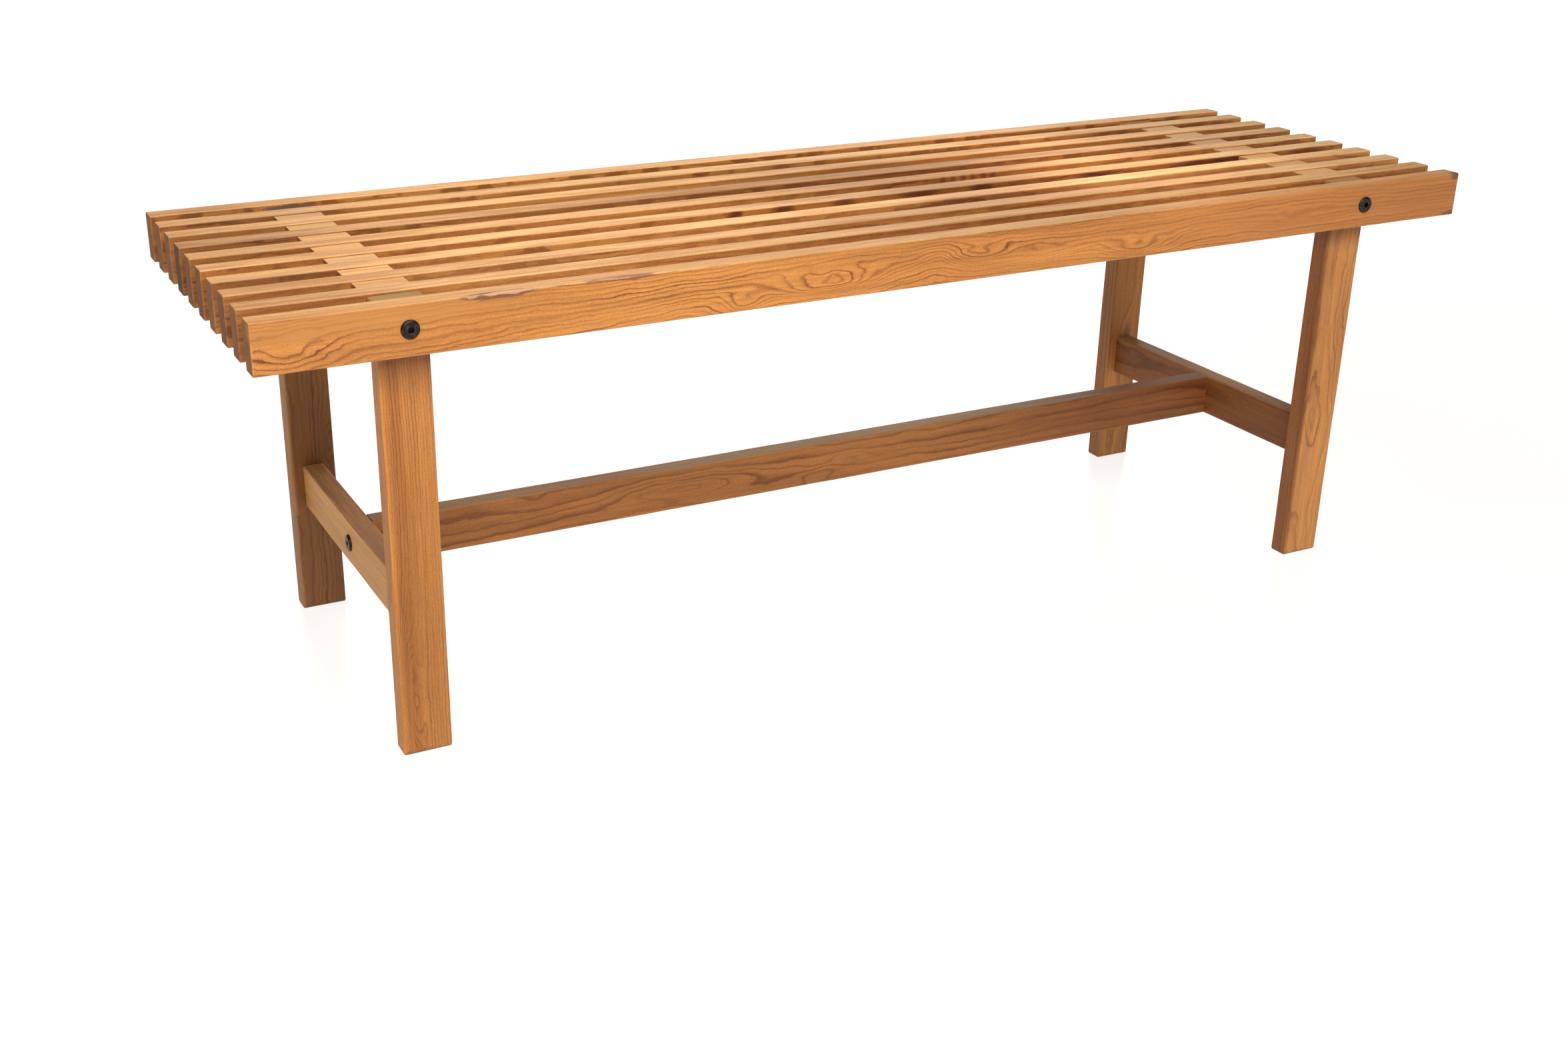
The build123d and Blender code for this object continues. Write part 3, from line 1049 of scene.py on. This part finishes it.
# A head is turned from its tip inside the wood to the rim of its socket.  Profiles are
# (radius, height) pairs in millimetres, and height 0 is where the head sits on wood.
TURN_STEPS = 60
HEAD_RADIUS = 8.5
HEAD_HEIGHT = 2.5
RIM_HEIGHT = HEAD_HEIGHT - 0.12
HEAD_PROFILE = [
    (HEAD_RADIUS - 0.15, 0.0),
    (HEAD_RADIUS, 0.15),
    (HEAD_RADIUS, 0.9),
    (HEAD_RADIUS - 0.25, 1.35),
    (HEAD_RADIUS - 0.75, 1.95),
    (HEAD_RADIUS - 1.5, 2.35),
    (HEAD_RADIUS - 2.1, HEAD_HEIGHT),
    (HEAD_RADIUS - 3.0, HEAD_HEIGHT),
    (HEAD_RADIUS - 3.5, RIM_HEIGHT),
    (HEAD_RADIUS - 4.4, RIM_HEIGHT),
]
HEX_ACROSS = 5.0
HEX_FLOOR = HEAD_HEIGHT - 3.2
# The hexagon's rings, as (scale, height): its flared mouth, its top and its bottom.
HEX_RINGS = ((1.06, RIM_HEIGHT), (1.0, HEAD_HEIGHT - 0.35), (1.0, HEX_FLOOR + 0.5))

SLEEVE_RADIUS = 4.5
SLEEVE_LENGTH = 16.0
SLEEVE_BORE = 3.1
SLEEVE_FLOOR = -2.7
# A sleeve nut: its bore's floor and mouth, then its outside.
SLEEVE_PROFILE = [
    (0, SLEEVE_FLOOR),
    (SLEEVE_BORE, SLEEVE_FLOOR),
    (SLEEVE_BORE, -SLEEVE_LENGTH),
    (SLEEVE_RADIUS - 0.4, -SLEEVE_LENGTH),
    (SLEEVE_RADIUS, 0.5 - SLEEVE_LENGTH),
    (SLEEVE_RADIUS, 0.0),
]
BOLT_RADIUS = 3.0
BOLT_LENGTH = 66.0
BOLT_PROFILE = [
    (0, -BOLT_LENGTH),
    (BOLT_RADIUS - 0.6, -BOLT_LENGTH),
    (BOLT_RADIUS, 0.5 - BOLT_LENGTH),
    (BOLT_RADIUS, 0.0),
]


def ring_of(shape, points, height, place):
    """New corners at these points and this height, in millimetres."""
    corners = [place @ Vector((u * MM, v * MM, height * MM)) for u, v in points]
    return [shape.verts.new(corner) for corner in corners]


def skin(shape, rings):
    """Faces from each ring to the next.  A ring may be a single corner."""
    for low, high in zip(rings, rings[1:]):
        for n in range(TURN_STEPS):
            m = (n + 1) % TURN_STEPS
            corners = [low[n % len(low)], low[m % len(low)]]
            corners += [high[m % len(high)], high[n % len(high)]]
            shape.faces.new(list(dict.fromkeys(corners)))


def hexagon(across, count):
    """Points of a hexagon, one in each of count directions."""
    points = []
    for n in range(count):
        turn = n * (2 * math.pi / count)
        reach = across / 2 / math.cos(turn % (math.pi / 3) - math.pi / 6)
        points.append((reach * math.cos(turn), reach * math.sin(turn)))
    return points


def headed(shape, profile, place):
    """Adds a shank of this profile, with a round head and a hexagon socket."""
    rings = []
    for radius, height in profile + HEAD_PROFILE:
        points = circle(0, 0, radius, TURN_STEPS) if radius else [(0, 0)]
        rings.append(ring_of(shape, points, height, place))
    for scale, height in HEX_RINGS:
        points = hexagon(HEX_ACROSS * scale, TURN_STEPS)
        rings.append(ring_of(shape, points, height, place))
    rings.append(ring_of(shape, [(0, 0)], HEX_FLOOR, place))
    skin(shape, rings)


def hardware(node, profile, places):
    """One piece that stands for a node of black heads, made in place."""
    name = "heads_" + node
    shape = bmesh.new()
    for place in places:
        headed(shape, profile, place)
    piece = linked(name, mesh_of(shape, name))
    shade(piece, sharp=35)
    piece.data.materials.append(BLACK_STEEL)
    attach(piece, "root")
    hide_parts(node)


# Where heads sit, in metres: on the outer slats, and outside on the end rails.
SEAT_FACE = 0.209
ROD_X = SLAT_ROD_X * MM
ROD_Z = 0.416
RAIL_FACE = 0.543
RAIL_Z = 0.141


def on_seat(x, facing):
    """Where a sleeve nut sits, front -1 or rear 1.  Each is spun by its own angle."""
    turn = Matrix.Rotation(-facing * math.pi / 2, 4, "X")
    spin = Matrix.Rotation(0.35 * facing + x, 4, "Z")
    return Matrix.Translation((x, facing * SEAT_FACE, ROD_Z)) @ turn @ spin


def on_rail(facing):
    """Where a stretcher bolt's head sits, left -1 or right 1."""
    turn = Matrix.Rotation(facing * math.pi / 2, 4, "Y")
    spin = Matrix.Rotation(0.2 * facing, 4, "Z")
    return Matrix.Translation((facing * RAIL_FACE, 0, RAIL_Z)) @ turn @ spin


hardware("sleeve_nuts_left", SLEEVE_PROFILE, [on_seat(-ROD_X, -1), on_seat(-ROD_X, 1)])
hardware("sleeve_nuts_right", SLEEVE_PROFILE, [on_seat(ROD_X, -1), on_seat(ROD_X, 1)])
hardware("stretcher_bolts", BOLT_PROFILE, [on_rail(-1), on_rail(1)])

# ---- Hidden hardware keeps its CAD solids ----------------------------------------


for node in ("seat_rod_left", "seat_rod_right", "barrel_nuts"):
    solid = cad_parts[node]
    solid.data.materials.clear()
    solid.data.materials.append(BRIGHT_STEEL)

# ---- Floor, light and world ------------------------------------------------------

FLOOR_HALF = 15.0


def make_floor():
    """A pale floor that glows a little, and more away from the bench, up to white."""
    mesh = bpy.data.meshes.new("floor")
    corners = rectangle(0, 0, 2 * FLOOR_HALF, 2 * FLOOR_HALF)
    mesh.from_pydata([(x, y, 0) for x, y in corners], [], [(0, 1, 2, 3)])
    floor = linked("floor", mesh)
    g, shader, made = new_material("floor")
    place = g.place()
    cloud = g.noise(place, (900, 900, 900), 3.0)["Fac"]
    colour = g.mix(cloud, srgb(138, 137, 136), srgb(132, 131, 130))
    g.feed(shader.inputs["Base Color"], colour)
    shader.inputs["Roughness"].default_value = 0.28
    shader.inputs["Emission Color"].default_value = (1.0, 0.985, 0.96, 1)
    away = g.vector("LENGTH", place)
    g.feed(shader.inputs["Emission Strength"], g.step(away, 900, 3000, 0.82, 1.0))
    mesh.materials.append(made)


def aimed(data, place, aim, power, tint):
    """Hangs a light at a place and points it at another."""
    data.energy = power
    data.color = tint
    light = linked(data.name, data)
    light.location = place
    direction = Vector(aim) - Vector(place)
    light.rotation_mode = "QUATERNION"
    light.rotation_quaternion = direction.to_track_quat("-Z", "Y")


def softbox(name, place, aim, width, height, power, tint=(1, 1, 1)):
    """A large rectangular light."""
    data = bpy.data.lights.new(name, "AREA")
    data.shape = "RECTANGLE"
    data.size, data.size_y = width, height
    aimed(data, place, aim, power, tint)


def glow(name, place, aim, angle, power, tint):
    """A small round light with a wholly soft edge."""
    data = bpy.data.lights.new(name, "SPOT")
    data.spot_size = math.radians(angle)
    data.spot_blend = 1.0
    data.shadow_soft_size = 0.12
    aimed(data, place, aim, power, tint)


def make_world():
    """An even, dim white sky, which keeps shadows soft."""
    world = bpy.data.worlds.new("studio")
    world.use_nodes = True
    sky = world.node_tree.nodes["Background"]
    sky.inputs["Color"].default_value = (1, 1, 1, 1)
    sky.inputs["Strength"].default_value = 0.18
    bpy.context.scene.world = world


make_floor()
make_world()

# The key light is above the viewer.  The glow makes the bright spot on the seat, and
# the backdrop lights the floor behind the bench.
softbox("key", (-0.8, -2.3, 2.2), (-0.1, 0, 0.3), 2.0, 1.4, 93, (1.0, 0.97, 0.91))
softbox("overhead", (-0.32, -0.1, 1.5), (-0.26, 0, 0.4), 0.7, 0.5, 10, (1.0, 0.96, 0.92))
softbox("left", (-2.7, -0.6, 2.4), (-0.2, 0, 0.25), 1.8, 1.6, 8)
softbox("window", (1.8, 2.6, 1.2), (0.2, 0, 0.4), 1.4, 1.2, 10, (1.0, 0.93, 0.80))
glow("glow", (0.82, -0.96, 1.7), (0.32, 0.0, 0.43), 9, 300, (1.0, 0.96, 0.91))
softbox("backdrop", (2.6, 6.0, 3.4), (2.8, 7.0, 0), 6.0, 3.0, 330)

# Colours as they are, so that the floor clips to the photograph's white.
view = bpy.context.scene.view_settings
view.view_transform = "Standard"
view.look = "None"
view.exposure = 0.0
